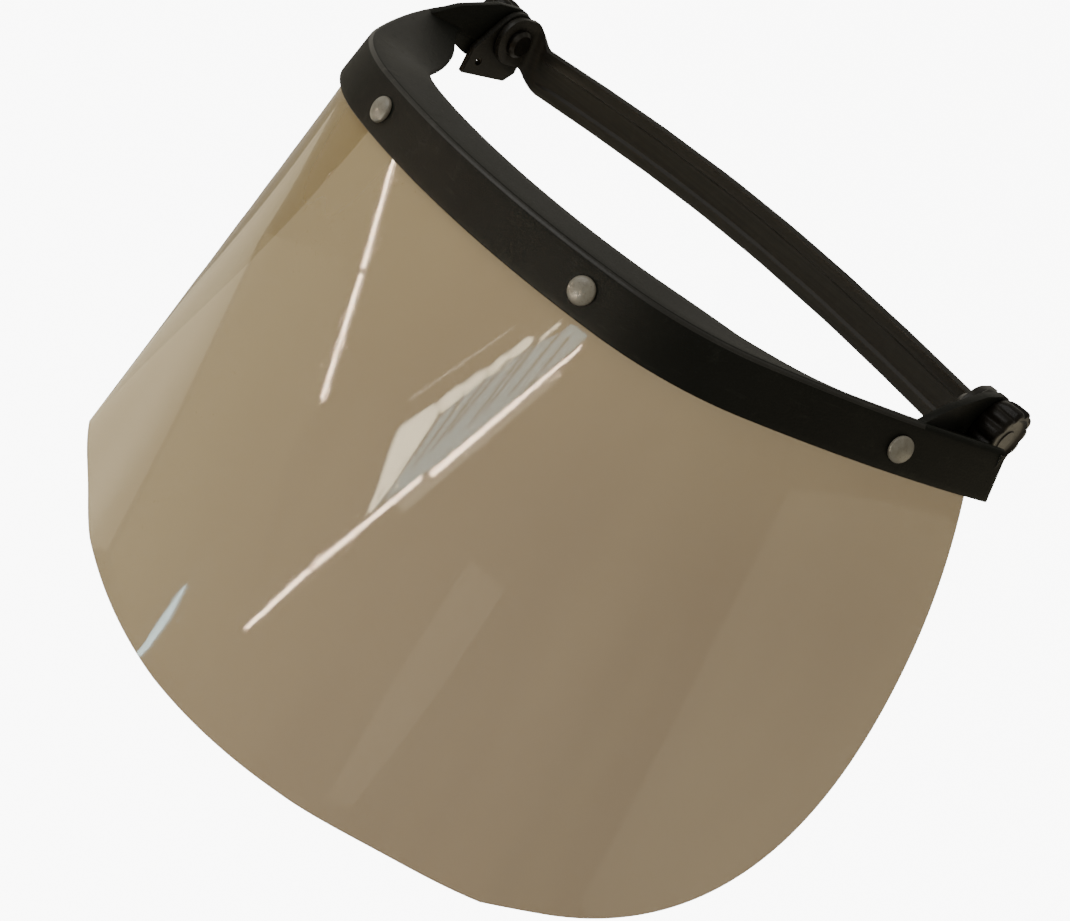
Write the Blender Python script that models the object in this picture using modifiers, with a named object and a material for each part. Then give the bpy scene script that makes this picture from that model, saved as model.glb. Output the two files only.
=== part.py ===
"""Helmet face shield: a tinted visor sheet riveted to a U-shaped carrier, which
swings on two knobs at the ends of a rear strap.

Metres, +Z up as worn. The wearer looks along -Y and the wearer's left is +X.
The origin is midway between the two pivots, on the line that joins them.
"""
import bpy
import bmesh
import math
from mathutils import Matrix, Vector

MM = 0.001
GAP = 0.3 * MM                    # clearance kept between neighbouring solids

# Plan of the carrier: three tangent arcs from the front centre to one arm end
FRONT_RADIUS = 221.8 * MM
FRONT_TURN = 0.2616               # radians turned by the front arc
CORNER_RADIUS = 65.9 * MM
CORNER_TURN = 0.6958
ARM_RADIUS = 412.8 * MM
ARM_LENGTH = 90.6 * MM            # run of the arm behind the corner

# Section of the carrier
CARRIER_TOP = 1.7 * MM            # height of the ledge above the pivot line
WALL_HEIGHT = 16.7 * MM
WALL_FLARE = 0.2172               # radians the wall leans out towards its lower edge
WALL_THICKNESS = 2.5 * MM
LEDGE_THICKNESS = 2.2 * MM
LEDGE_FRONT = 19.7 * MM           # width of the ledge in plan at the front centre
LEDGE_CORNER = 20.3 * MM          # and where the corner starts
LEDGE_ARM = 23.6 * MM             # and where the arm starts
LEDGE_HALF = 20.3 * MM            # and half way along the arm
LEDGE_WAIST = 12.0 * MM           # and where it passes the side plate
LEDGE_END = 17.0 * MM             # and at the arm end
LEDGE_WAIST_AHEAD = 17.5 * MM     # run from the waist to the arm end
LEDGE_ROLL = 0.35                 # radians the ledge slopes down inwards along the arms
LEDGE_ROLL_RUN = 92.0 * MM        # run behind the front arc over which it takes that slope
EDGE_ROUND = 1.6 * MM             # radius between the ledge and the wall
END_WALL = 2.3 * MM               # wall across each arm's end, which steadies the ear

# Visor sheet, cut from a flat blank
SHEET = 1.0 * MM
VISOR_DROP = 182.1 * MM           # front centre of the hem below the carrier's lower edge
HEM_BOW = 48.0 * MM               # reach of the hem's bowed middle on each side
HEM_SLOPE = 0.121                 # and its slope from there to the rounding
VISOR_TUCK = 11.0 * MM            # strip of the sheet held inside the wall
VISOR_HALF_TOP = 190.9 * MM       # along the curve, from the centre to the sheet's top corner
VISOR_HALF_WIDE = 200.2 * MM      # the same at the widest place
WIDE_DROP = 58.0 * MM             # depth of the widest place below the wall
HEM_CORNER_START = 123.0 * MM     # where the hem starts to round into the side
HEM_PULL = 51.0 * MM              # how far the rounding follows the hem
SIDE_PULL = 65.0 * MM             # and the side
FLARE_FRONT = 0.155               # radians the sheet leans outwards at the front
FLARE_HALF = 0.132                # radians it leans half way round
FLARE_END = 0.249                 # radians it leans at the arm end
FLARE_FULL_TURN = 1.228           # radians of turn at which FLARE_END is reached

# Rivets, placed along the carrier's curve
RIVET_FRONT = 48.5 * MM
RIVET_ARM = 157.3 * MM
RIVET_DEPTH = 0.535               # share of the wall's height
RIVET_HEAD = 8.6 * MM
RIVET_DOME = 2.0 * MM
RIVET_SHANK = 3.6 * MM
RIVET_FOOT = 6.4 * MM
RIVET_FOOT_THICKNESS = 1.1 * MM

# Pivots: pieces stacked outwards along X from the strap's lug
LUG_INNER = 115.0 * MM            # inner face of the strap's lug, from the middle plane
LUG_THICKNESS = 2.6 * MM
PLATE_THICKNESS = 2.5 * MM
EAR_THICKNESS = 2.5 * MM
EAR_RADIUS = 11.0 * MM
EAR_CREST = 12.0 * MM             # the ear's level top reaches this far ahead of the pivot
EAR_HEEL = 18.0 * MM              # and its level foot
EAR_SHOULDER = 31.3 * MM          # where its top edge starts to fall more steeply
EAR_SHOULDER_RISE = 6.7 * MM
EAR_WEB = 38.0 * MM               # where its foot has risen to the ledge's underside
EAR_TIE = 44.0 * MM               # where it ends, inside the arm
BOLT_DIAMETER = 6.0 * MM
BOLT_HEAD = 11.0 * MM
BOLT_HEAD_THICKNESS = 2.6 * MM
BOLT_REACH = 7.0 * MM             # thread inside the knob
KNOB_DIAMETER = 23.0 * MM
KNOB_LENGTH = 9.0 * MM
KNOB_CLEARANCE = 1.4 * MM         # between the knob and the wall across the arm's end
KNOB_FLUTES = 12
FLUTE_DEPTH = 1.1 * MM
FLUTE_STEPS = 6                   # points round each flute
KNOB_DISH = 1.0 * MM              # depth of the dished outer face
KNOB_DISH_DIAMETER = 17.0 * MM

# Side plate, in the plane of the pivots
PLATE_ROUND = 10.5 * MM           # radius of its upper end, round the pivot
PLATE_FRONT = 18.0 * MM           # reach ahead of the pivot
PLATE_DROP = 17.5 * MM
PLATE_FRONT_DROP = 7.0 * MM       # top of its front edge
PLATE_CHAMFER = 4.0 * MM
STOP_HOLE = 3.2 * MM
STOP_HOLE_DROP = 11.8 * MM
STOP_HOLE_AHEAD = 12.0 * MM

# Rear strap, a channel-shaped band
STRAP_HEIGHT = 19.0 * MM
STRAP_THICKNESS = 2.6 * MM
STRAP_RIM = 4.4 * MM              # height of the raised rim along each edge
STRAP_RECESS = 1.1 * MM
STRAP_REACH = 18.2 * MM           # middle of the strap behind the pivots
STRAP_SHOULDER = 14.2 * MM        # where the bends end, behind the pivots
STRAP_BEND = 8.0 * MM             # radius of the bend between lug and band
STRAP_MIDDLE_Z = -2.5 * MM        # height of the band at the middle and after the bends
STRAP_SHOULDER_Z = -7.0 * MM
STRAP_LEAN = 0.30                 # radians the band's upper edge leans in, as on a helmet
LUG_RADIUS = 9.5 * MM

ROUND_STEPS = 24
SMOOTH_ANGLE = math.radians(35)

PLATE_INNER = LUG_INNER + LUG_THICKNESS + GAP
EAR_INNER = PLATE_INNER + PLATE_THICKNESS + GAP
KNOB_INNER = EAR_INNER + EAR_THICKNESS + GAP
BOLT_HOLE = BOLT_DIAMETER + 2 * GAP


for old in list(bpy.data.objects):
    bpy.data.objects.remove(old, do_unlink=True)

parts = bpy.data.collections.new("face_shield")
cutters = bpy.data.collections.new("cutters")
for collection in (parts, cutters):
    bpy.context.scene.collection.children.link(collection)


def material(name, color, roughness, alpha=1.0):
    mat = bpy.data.materials.new(name)
    mat.use_nodes = True
    shader = mat.node_tree.nodes["Principled BSDF"]
    shader.inputs["Base Color"].default_value = (*color, 1.0)
    shader.inputs["Roughness"].default_value = roughness
    shader.inputs["Metallic"].default_value = 0.0
    shader.inputs["Alpha"].default_value = alpha
    return mat


BLACK = material("black_plastic", (0.020, 0.018, 0.016), 0.5)
STRAP_BLACK = material("strap_plastic", (0.024, 0.021, 0.018), 0.45)
KNOB_BLACK = material("knob_plastic", (0.016, 0.015, 0.014), 0.4)
PLATE_GREY = material("plate_plastic", (0.045, 0.041, 0.036), 0.5)
WHITE = material("rivet_plastic", (0.62, 0.60, 0.55), 0.35)
STEEL = material("bolt_steel", (0.45, 0.44, 0.42), 0.35)
TINT = material("tinted_sheet", (0.42, 0.35, 0.25), 0.06, 0.4)


def add_object(name, mesh, mat, collection=parts):
    obj = bpy.data.objects.new(name, mesh)
    mesh.materials.append(mat)
    collection.objects.link(obj)
    return obj


def mesh_from(bm, name):
    bmesh.ops.remove_doubles(bm, verts=bm.verts, dist=1e-7)
    bmesh.ops.recalc_face_normals(bm, faces=bm.faces)
    mesh = bpy.data.meshes.new(name)
    bm.to_mesh(mesh)
    bm.free()
    return mesh


def smooth(obj):
    obj.data.shade_smooth()
    obj.data.set_sharp_from_angle(angle=SMOOTH_ANGLE)


def loft(rings, closed_ring=True, caps=(True, True)):
    """Quads between rings of equal length, with flat caps where asked."""
    bm = bmesh.new()
    rows = [[bm.verts.new(p) for p in ring] for ring in rings]
    count = len(rows[0])
    for a, b in zip(rows, rows[1:]):
        for i in range(count if closed_ring else count - 1):
            j = (i + 1) % count
            bm.faces.new((a[i], a[j], b[j], b[i]))
    if caps[0]:
        bm.faces.new(rows[0])
    if caps[1]:
        bm.faces.new(rows[-1])
    return bm


def mirror_x(obj):
    mod = obj.modifiers.new("other half", "MIRROR")
    mod.use_axis = (True, False, False)
    mod.use_clip = True
    mod.merge_threshold = 0.00001


def boolean(obj, other, operation):
    mod = obj.modifiers.new(operation.lower(), "BOOLEAN")
    mod.operation = operation
    mod.solver = "EXACT"
    mod.object = other


def along_x(obj, side=1):
    """Turn an object made along +Z so that it points outwards along X."""
    obj.rotation_euler = (0.0, side * math.pi / 2, 0.0)


def cutter(name, diameter, length, matrix):
    bm = bmesh.new()
    half_step = Matrix.Rotation(math.pi / ROUND_STEPS, 4, "Z")
    bmesh.ops.create_cone(bm, cap_ends=True, segments=ROUND_STEPS, radius1=diameter / 2,
                          radius2=diameter / 2, depth=length, matrix=half_step)
    obj = bpy.data.objects.new(name, mesh_from(bm, name))
    obj.matrix_world = matrix
    obj.hide_render = True
    obj.display_type = "WIRE"
    cutters.objects.link(obj)
    return obj


def turned(name, profile, mat):
    """A solid turned about Z from (radius, height) pairs that run from top to bottom."""
    mesh = bpy.data.meshes.new(name)
    points = [(r, 0.0, z) for r, z in profile]
    mesh.from_pydata(points, [(i, i + 1) for i in range(len(points) - 1)], [])
    obj = add_object(name, mesh, mat)
    mod = obj.modifiers.new("turn", "SCREW")
    mod.axis = "Z"
    mod.steps = mod.render_steps = ROUND_STEPS
    mod.use_merge_vertices = True
    mod.merge_threshold = 0.00001
    mod.use_smooth_shade = True
    return obj


# Plan curve of the carrier

FRONT_RUN = FRONT_RADIUS * FRONT_TURN
CORNER_RUN = CORNER_RADIUS * CORNER_TURN
ARM_START = FRONT_RUN + CORNER_RUN
CARRIER_RUN = ARM_START + ARM_LENGTH


def arcs(run):
    """Point and turn on the three arcs, a distance along them from the front centre."""
    x, y, turn, left = 0.0, 0.0, 0.0, run
    for radius, length in ((FRONT_RADIUS, FRONT_RUN), (CORNER_RADIUS, CORNER_RUN),
                           (ARM_RADIUS, math.inf)):
        step = min(left, length)
        after = turn + step / radius
        x += radius * (math.sin(after) - math.sin(turn))
        y += radius * (math.cos(turn) - math.cos(after))
        turn = after
        left -= step
    return x, y, turn


ARM_STOP = -KNOB_DIAMETER / 2 - KNOB_CLEARANCE     # nothing of the arm lies behind this
ARM_END = ARM_STOP - END_WALL + GAP
FRONT_REACH = arcs(CARRIER_RUN)[1] - ARM_END


def plan(run):
    """Point and turn of the wall's upper outer edge, ahead of the pivots."""
    x, y, turn = arcs(run)
    return x, y - FRONT_REACH, turn


def offset(run, out, z):
    """Point at a height, moved out from the plan curve along its normal."""
    x, y, turn = plan(run)
    return Vector((x + out * math.sin(turn), y - out * math.cos(turn), z))


def curve_through(value, knots):
    """Smooth curve through (position, value) pairs, level at neither end."""
    slopes = [(b[1] - a[1]) / (b[0] - a[0]) for a, b in zip(knots, knots[1:])]
    bends = [slopes[0]] + [(p + q) / 2 for p, q in zip(slopes, slopes[1:])] + [slopes[-1]]
    for i, ((a, va), (b, vb)) in enumerate(zip(knots, knots[1:])):
        if value <= b or i == len(slopes) - 1:
            width = b - a
            t = (value - a) / width
            ease = t * t * (3.0 - 2.0 * t)
            return (va + (vb - va) * ease + width * t * (1.0 - t)
                    * (bends[i] * (1.0 - t) - bends[i + 1] * t))


def spread(start, end, count):
    return [start + (end - start) * i / count for i in range(count + 1)]


LEAN = math.tan(WALL_FLARE)
WALL_BOTTOM = CARRIER_TOP - WALL_HEIGHT
VISOR_FACE = WALL_THICKNESS + GAP          # sheet's outer face behind the wall's outer face


# Carrier: L-shaped section swept along the plan, with an ear at each arm end

def ledge_width(run):
    return curve_through(run, ((0.0, LEDGE_FRONT), (FRONT_RUN, LEDGE_CORNER),
                               (ARM_START, LEDGE_ARM),
                               (ARM_START + ARM_LENGTH / 2, LEDGE_HALF),
                               (CARRIER_RUN - LEDGE_WAIST_AHEAD, LEDGE_WAIST),
                               (CARRIER_RUN, LEDGE_END)))


def ledge_roll(run):
    """The ledge is level across the front and slopes down inwards along the arms."""
    share = min(max((run - FRONT_RUN) / LEDGE_ROLL_RUN, 0.0), 1.0)
    return LEDGE_ROLL * share * share * (3.0 - 2.0 * share)


def ledge_top(run, inward):
    return CARRIER_TOP - max(inward - EDGE_ROUND, 0.0) * math.tan(ledge_roll(run))


def carrier_section(run):
    width, roll = ledge_width(run), ledge_roll(run)
    top = CARRIER_TOP
    tilt = math.tan(roll)
    under = Vector((math.sin(roll), -math.cos(roll))) * LEDGE_THICKNESS
    meet = ((-under.y + (WALL_THICKNESS - EDGE_ROUND + under.x) * tilt)
            / (1.0 + LEAN * tilt))
    outer = [(LEAN * WALL_HEIGHT, WALL_BOTTOM)]
    for angle in spread(0.0, math.pi / 2, 3):
        outer.append((EDGE_ROUND * (math.cos(angle) - 1.0 + LEAN * (1.0 - math.sin(angle))),
                      top - EDGE_ROUND * (1.0 - math.sin(angle))))
    edge = ledge_top(run, width)
    inner = [(-width, edge), (-width + under.x, edge + under.y),
             (LEAN * meet - WALL_THICKNESS, top - meet),
             (LEAN * WALL_HEIGHT - WALL_THICKNESS, WALL_BOTTOM)]
    points = [offset(run, out, z) for out, z in outer + inner]
    for point in points:
        point.y = min(point.y, ARM_STOP)
    return points


def make_carrier():
    runs = (spread(0.0, FRONT_RUN, 8) + spread(FRONT_RUN, ARM_START, 9)[1:]
            + spread(ARM_START, CARRIER_RUN, 14)[1:])
    bm = loft([carrier_section(run) for run in runs], caps=(False, True))
    carrier = add_object("carrier", mesh_from(bm, "carrier"), BLACK)
    mirror_x(carrier)
    return carrier


def ear_outline():
    """Side view (y, z) of the ear: a round end on the pivot and a web that runs into the arm."""
    under = CARRIER_TOP - LEDGE_THICKNESS
    points = [(-EAR_TIE, CARRIER_TOP - GAP), (-EAR_TIE, under - GAP), (-EAR_WEB, under - 7 * GAP),
              (-EAR_HEEL, -EAR_RADIUS)]
    for angle in spread(-math.pi / 2, math.pi / 2, 14):
        points.append((EAR_RADIUS * math.cos(angle), EAR_RADIUS * math.sin(angle)))
    return points + [(-EAR_CREST, EAR_RADIUS), (-EAR_SHOULDER, EAR_SHOULDER_RISE)]


def prism_x(name, outline, x_low, x_high, mat, collection=parts):
    """Solid between two planes square to X, from a (y, z) outline."""
    bm = loft([[(x, y, z) for y, z in outline] for x in (x_low, x_high)])
    return add_object(name, mesh_from(bm, name), mat, collection)


def add_ears(carrier):
    """Join the flat ears, and the wall across each arm's end, to the carrier."""
    reach = plan(CARRIER_RUN)[0] + LEAN * EAR_RADIUS - WALL_THICKNESS / 2
    root = EAR_INNER + EAR_THICKNESS / 2
    inner_top = ledge_top(CARRIER_RUN, LEDGE_END) - LEDGE_THICKNESS / 2
    outer_top = CARRIER_TOP - LEDGE_THICKNESS / 2
    front, back = ARM_STOP - END_WALL, ARM_STOP - GAP / 2
    for side, word in ((1, "left"), (-1, "right")):
        low, high = sorted((side * EAR_INNER, side * (EAR_INNER + EAR_THICKNESS)))
        ear = prism_x(f"ear_{word}", ear_outline(), low, high, BLACK, cutters)
        ends = [[(side * x, front, top), (side * x, front, -EAR_RADIUS),
                 (side * x, back, -EAR_RADIUS), (side * x, back, top)]
                for x, top in ((root, inner_top), (reach, outer_top))]
        end_wall = add_object(f"end_wall_{word}", mesh_from(loft(ends), f"end_wall_{word}"),
                              BLACK, cutters)
        for tool in (ear, end_wall):
            tool.hide_render = True
            tool.display_type = "WIRE"
            boolean(carrier, tool, "UNION")


# Visor: the blank's outline in (run, drop), laid along the wall and leaning outwards

def hem(run):
    if run < HEM_BOW:
        return VISOR_DROP - HEM_SLOPE * run ** 2 / (2.0 * HEM_BOW)
    return VISOR_DROP - HEM_SLOPE * (run - HEM_BOW / 2.0)


def corner_curve(share):
    """Rounding from the side edge (0) to the hem (1)."""
    start = (VISOR_HALF_WIDE, WIDE_DROP)
    side = (VISOR_HALF_WIDE, WIDE_DROP + SIDE_PULL)
    end = (HEM_CORNER_START, hem(HEM_CORNER_START))
    below = (end[0] + HEM_PULL, end[1] - HEM_SLOPE * HEM_PULL)
    keep = 1.0 - share
    return tuple(keep ** 3 * start[i] + 3 * keep * keep * share * side[i]
                 + 3 * keep * share * share * below[i] + share ** 3 * end[i]
                 for i in range(2))


def side_edge(share):
    """Side of the blank from the wall (0) to the middle of the rounding (1)."""
    split = 0.45
    if share < split:
        part = share / split
        widen = 1.0 - (1.0 - part) ** 2
        return (VISOR_HALF_TOP + (VISOR_HALF_WIDE - VISOR_HALF_TOP) * widen, WIDE_DROP * part)
    return corner_curve(0.5 * (share - split) / (1.0 - split))


def hem_edge(share):
    """Hem of the blank from the centre (0) to the middle of the rounding (1)."""
    split = 0.55
    if share < split:
        run = HEM_CORNER_START * share / split
        return (run, hem(run))
    return corner_curve(1.0 - 0.5 * (share - split) / (1.0 - split))


def blank_point(across, down):
    """Coons patch over half the blank, below the wall."""
    top = (VISOR_HALF_TOP * across, 0.0)
    middle = (0.0, VISOR_DROP * down)
    low, side, corner = hem_edge(across), side_edge(down), side_edge(1.0)
    return tuple((1 - down) * top[i] + down * low[i] + (1 - across) * middle[i]
                 + across * side[i]
                 - (across * (1 - down) * (VISOR_HALF_TOP, 0.0)[i]
                    + (1 - across) * down * (0.0, VISOR_DROP)[i]
                    + across * down * corner[i])
                 for i in range(2))


def visor_point(run, drop):
    """Outer face of the sheet: on the wall's inner face above its edge, leaning below it."""
    turn = plan(run)[2]
    half = FLARE_FULL_TURN / 2
    flare = curve_through(turn, ((0.0, FLARE_FRONT), (half, FLARE_HALF),
                                 (FLARE_FULL_TURN, FLARE_END)))
    if drop < 0.0:
        flare = WALL_FLARE
    start = LEAN * WALL_HEIGHT - VISOR_FACE
    return offset(run, start + drop * math.sin(flare), WALL_BOTTOM - drop * math.cos(flare))


def make_visor():
    columns, rows = 26, 12
    rings = [[visor_point(VISOR_HALF_TOP * i / columns, -VISOR_TUCK)
              for i in range(columns + 1)]]
    for j in range(rows + 1):
        rings.append([visor_point(*blank_point(i / columns, j / rows))
                      for i in range(columns + 1)])
    bm = loft(rings, closed_ring=False, caps=(False, False))
    mesh = mesh_from(bm, "visor")
    if mesh.polygons[0].normal.y > 0.0:
        mesh.flip_normals()
    visor = add_object("visor", mesh, TINT)
    mirror_x(visor)
    solid = visor.modifiers.new("sheet", "SOLIDIFY")
    solid.thickness = SHEET
    solid.offset = -1.0
    solid.use_even_offset = True
    return visor


# Rivets through the wall and the sheet

def rivet_matrix(run, side):
    drop = RIVET_DEPTH * WALL_HEIGHT
    point = offset(run, LEAN * drop, CARRIER_TOP - drop)
    turn = plan(run)[2]
    axis = Vector((math.sin(turn) * math.cos(WALL_FLARE), -math.cos(turn) * math.cos(WALL_FLARE),
                   math.sin(WALL_FLARE)))
    point.x *= side
    axis.x *= side
    return Matrix.Translation(point) @ axis.to_track_quat("Z", "Y").to_matrix().to_4x4()


def rivet_profile():
    radius = RIVET_HEAD / 2
    sphere = (radius ** 2 + RIVET_DOME ** 2) / (2 * RIVET_DOME)
    widest = math.asin(radius / sphere)
    dome = [(sphere * math.sin(a), GAP + RIVET_DOME - sphere * (1 - math.cos(a)))
            for a in spread(0.0, widest, 5)]
    grip = (WALL_THICKNESS + GAP) * math.cos(WALL_FLARE) + SHEET + 2 * GAP
    return dome + [(RIVET_SHANK / 2, GAP), (RIVET_SHANK / 2, -grip), (RIVET_FOOT / 2, -grip),
                   (RIVET_FOOT / 2, -grip - RIVET_FOOT_THICKNESS),
                   (0.0, -grip - RIVET_FOOT_THICKNESS)]


def make_rivets(carrier, visor):
    places = ((-1, RIVET_ARM), (-1, RIVET_FRONT), (1, RIVET_FRONT), (1, RIVET_ARM))
    for number, (side, run) in enumerate(places, 1):
        matrix = rivet_matrix(run, side)
        rivet = turned(f"rivet_{number}", rivet_profile(), WHITE)
        rivet.matrix_world = matrix
        hole = cutter(f"rivet_hole_{number}", RIVET_SHANK + 2 * GAP, 6 * WALL_THICKNESS, matrix)
        boolean(carrier, hole, "DIFFERENCE")
        boolean(visor, hole, "DIFFERENCE")


# Side plates, in the harness, inside the ears

def plate_outline():
    """Side view (y, z): a round upper end and a square foot that reaches forward."""
    round_end = [(PLATE_ROUND * math.cos(a), PLATE_ROUND * math.sin(a))
                 for a in spread(0.0, 0.8 * math.pi, 10)]
    return round_end + [(-PLATE_FRONT, -PLATE_FRONT_DROP), (-PLATE_FRONT, -PLATE_DROP),
                        (PLATE_ROUND - PLATE_CHAMFER, -PLATE_DROP),
                        (PLATE_ROUND, PLATE_CHAMFER - PLATE_DROP)]


def make_side_plate(side, word, bolt_hole):
    low, high = sorted((side * PLATE_INNER, side * (PLATE_INNER + PLATE_THICKNESS)))
    plate = prism_x(f"side_plate_{word}", plate_outline(), low, high, PLATE_GREY)
    edge = plate.modifiers.new("soft edges", "BEVEL")
    edge.width = 0.4 * MM
    edge.segments = 1
    stop = cutter(f"stop_hole_{word}", STOP_HOLE, 6 * PLATE_THICKNESS,
                  Matrix.Translation((side * (PLATE_INNER + PLATE_THICKNESS / 2),
                                      -STOP_HOLE_AHEAD, -STOP_HOLE_DROP))
                  @ Matrix.Rotation(math.pi / 2, 4, "Y"))
    boolean(plate, bolt_hole, "DIFFERENCE")
    boolean(plate, stop, "DIFFERENCE")


# Rear strap: flat lugs on the pivots, a bend and a shallow bow across the back

def strap_path():
    """Half of the strap, lug to middle, as (x, y, turn, height, z, lean)."""
    lug_x = LUG_INNER + LUG_THICKNESS / 2
    stations = []
    for y in [-LUG_RADIUS * math.cos(a) for a in spread(0.12, math.pi / 2, 6)]:
        half = math.sqrt(LUG_RADIUS ** 2 - y ** 2)
        stations.append((lug_x, y, 0.0, 2 * half, 0.0, 0.0))
    rise = STRAP_REACH - STRAP_SHOULDER
    chord = lug_x - STRAP_BEND
    bow = (chord ** 2 + rise ** 2) / (2 * rise)
    leave = math.pi / 2 - math.asin(chord / bow)
    bend_y = STRAP_SHOULDER - STRAP_BEND * math.sin(leave)
    for turn in spread(0.0, leave, 6):
        share = turn / leave
        ease = share * share * (3.0 - 2.0 * share)
        stations.append((lug_x - STRAP_BEND * (1.0 - math.cos(turn)),
                         bend_y + STRAP_BEND * math.sin(turn), turn, STRAP_HEIGHT,
                         ease * STRAP_SHOULDER_Z, ease * STRAP_LEAN))
    start_x, start_y = stations[-1][0], stations[-1][1]
    bow = start_x / math.sin(math.pi / 2 - leave)
    for angle in spread(math.pi / 2 - leave, 0.0, 14)[1:]:
        share = math.cos(math.pi / 2 * angle / (math.pi / 2 - leave))
        stations.append((bow * math.sin(angle), start_y + bow * (math.cos(angle)
                         - math.sin(leave)), math.pi / 2 - angle, STRAP_HEIGHT,
                         STRAP_SHOULDER_Z + share * (STRAP_MIDDLE_Z - STRAP_SHOULDER_Z),
                         STRAP_LEAN))
    return stations


def strap_section(station, depth):
    """Channel section: the recess faces the wearer's head."""
    x, y, turn, height, z, lean = station
    half = STRAP_THICKNESS / 2
    floor = depth - half
    edge = height / 2
    rim = min(STRAP_RIM, edge * 0.45)
    shape = [(half, -edge), (half, edge), (-half, edge), (-half, edge - rim),
             (floor, edge - rim - abs(depth)), (floor, rim - edge + abs(depth)),
             (-half, rim - edge), (-half, -edge)]
    points = []
    for out, up in shape:
        level = out * math.cos(lean) - up * math.sin(lean)
        points.append((x + level * math.cos(turn), y + level * math.sin(turn),
                       z + out * math.sin(lean) + up * math.cos(lean)))
    return points


def make_strap(bolt_holes):
    stations = strap_path()
    first_deep = 14
    rings = []
    for i, station in enumerate(stations):
        depth = STRAP_RECESS * min(max(i - first_deep + 2, 0) / 2, 1.0)
        rings.append(strap_section(station, depth))
    bm = loft(rings, caps=(True, False))
    strap = add_object("rear_strap", mesh_from(bm, "rear_strap"), STRAP_BLACK)
    mirror_x(strap)
    for hole in bolt_holes:
        boolean(strap, hole, "DIFFERENCE")
    return strap


# Pivot bolts and knobs

def bolt_profile():
    head = -GAP
    end = LUG_THICKNESS + PLATE_THICKNESS + EAR_THICKNESS + 3 * GAP + BOLT_REACH
    chamfer = 0.6 * MM
    return [(0.0, end), (BOLT_DIAMETER / 2 - chamfer, end), (BOLT_DIAMETER / 2, end - chamfer),
            (BOLT_DIAMETER / 2, head), (BOLT_HEAD / 2, head),
            (BOLT_HEAD / 2, head - BOLT_HEAD_THICKNESS / 2),
            (BOLT_HEAD / 2 - BOLT_HEAD_THICKNESS / 2, head - BOLT_HEAD_THICKNESS),
            (0.0, head - BOLT_HEAD_THICKNESS)]


def knob_ring(radius, z, depth):
    count = KNOB_FLUTES * FLUTE_STEPS
    points = []
    for i in range(count):
        angle = 2 * math.pi * i / count
        here = radius - depth * (0.5 + 0.5 * math.cos(KNOB_FLUTES * angle)) ** 2
        points.append((here * math.cos(angle), here * math.sin(angle), z))
    return points


def make_knob(side, word):
    """Fluted cap, its foot at the origin and its dished face outwards."""
    radius = KNOB_DIAMETER / 2
    soft = 1.0 * MM
    dish = KNOB_DISH_DIAMETER / 2
    rings = [knob_ring(radius - 1.6 * soft, 0.0, 0.0),
             knob_ring(radius - 0.8 * soft, soft, FLUTE_DEPTH / 2),
             knob_ring(radius, 2 * soft, FLUTE_DEPTH),
             knob_ring(radius, KNOB_LENGTH - soft, FLUTE_DEPTH),
             knob_ring(radius - soft, KNOB_LENGTH, FLUTE_DEPTH / 2),
             knob_ring(dish, KNOB_LENGTH, 0.0),
             knob_ring(dish - KNOB_DISH, KNOB_LENGTH - KNOB_DISH, 0.0)]
    bm = loft(rings)
    knob = add_object(f"knob_{word}", mesh_from(bm, f"knob_{word}"), KNOB_BLACK)
    knob.location = (side * KNOB_INNER, 0.0, 0.0)
    along_x(knob, side)
    depth = BOLT_REACH + 2 * GAP
    bore = cutter(f"knob_bore_{word}", BOLT_HOLE, 2 * depth,
                  Matrix.Translation((side * KNOB_INNER, 0.0, 0.0))
                  @ Matrix.Rotation(math.pi / 2, 4, "Y"))
    boolean(knob, bore, "DIFFERENCE")
    return knob


carrier = make_carrier()
add_ears(carrier)
visor = make_visor()
make_rivets(carrier, visor)

bolt_holes = []
for side, word in ((1, "left"), (-1, "right")):
    hole = cutter(f"bolt_hole_{word}", BOLT_HOLE, 8 * PLATE_THICKNESS,
                  Matrix.Translation((side * (EAR_INNER - GAP), 0.0, 0.0))
                  @ Matrix.Rotation(math.pi / 2, 4, "Y"))
    bolt_holes.append(hole)
    boolean(carrier, hole, "DIFFERENCE")
    make_side_plate(side, word, hole)
    bolt = turned(f"pivot_bolt_{word}", bolt_profile(), STEEL)
    bolt.location = (side * LUG_INNER, 0.0, 0.0)
    along_x(bolt, side)
    make_knob(side, word)
make_strap(bolt_holes)

for obj in parts.objects:
    smooth(obj)
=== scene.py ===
"""Looks of the helmet face shield: finishes, finely modelled pieces, studio and camera.

Metres, in the frame of the construction: +Z up as worn, the wearer looks along -Y,
the wearer's left is +X, and the origin is midway between the two pivots.
"""

import math

import bmesh
import bpy
from mathutils import Matrix, Vector
from mathutils.bvhtree import BVHTree
from mathutils.interpolate import poly_3d_calc


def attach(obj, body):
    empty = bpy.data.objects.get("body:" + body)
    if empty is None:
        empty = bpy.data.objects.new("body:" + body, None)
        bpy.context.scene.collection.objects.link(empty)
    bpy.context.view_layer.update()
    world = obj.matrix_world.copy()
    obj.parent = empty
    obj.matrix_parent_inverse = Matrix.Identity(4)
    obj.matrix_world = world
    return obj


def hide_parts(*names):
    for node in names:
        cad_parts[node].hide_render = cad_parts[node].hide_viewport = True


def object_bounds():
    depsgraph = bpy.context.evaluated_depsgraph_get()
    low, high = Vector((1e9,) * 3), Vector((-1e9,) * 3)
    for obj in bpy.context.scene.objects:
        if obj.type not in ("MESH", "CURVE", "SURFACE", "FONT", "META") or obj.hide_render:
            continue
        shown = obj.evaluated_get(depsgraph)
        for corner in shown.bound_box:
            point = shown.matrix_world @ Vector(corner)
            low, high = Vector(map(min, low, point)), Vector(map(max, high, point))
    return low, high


MM = 0.001

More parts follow.
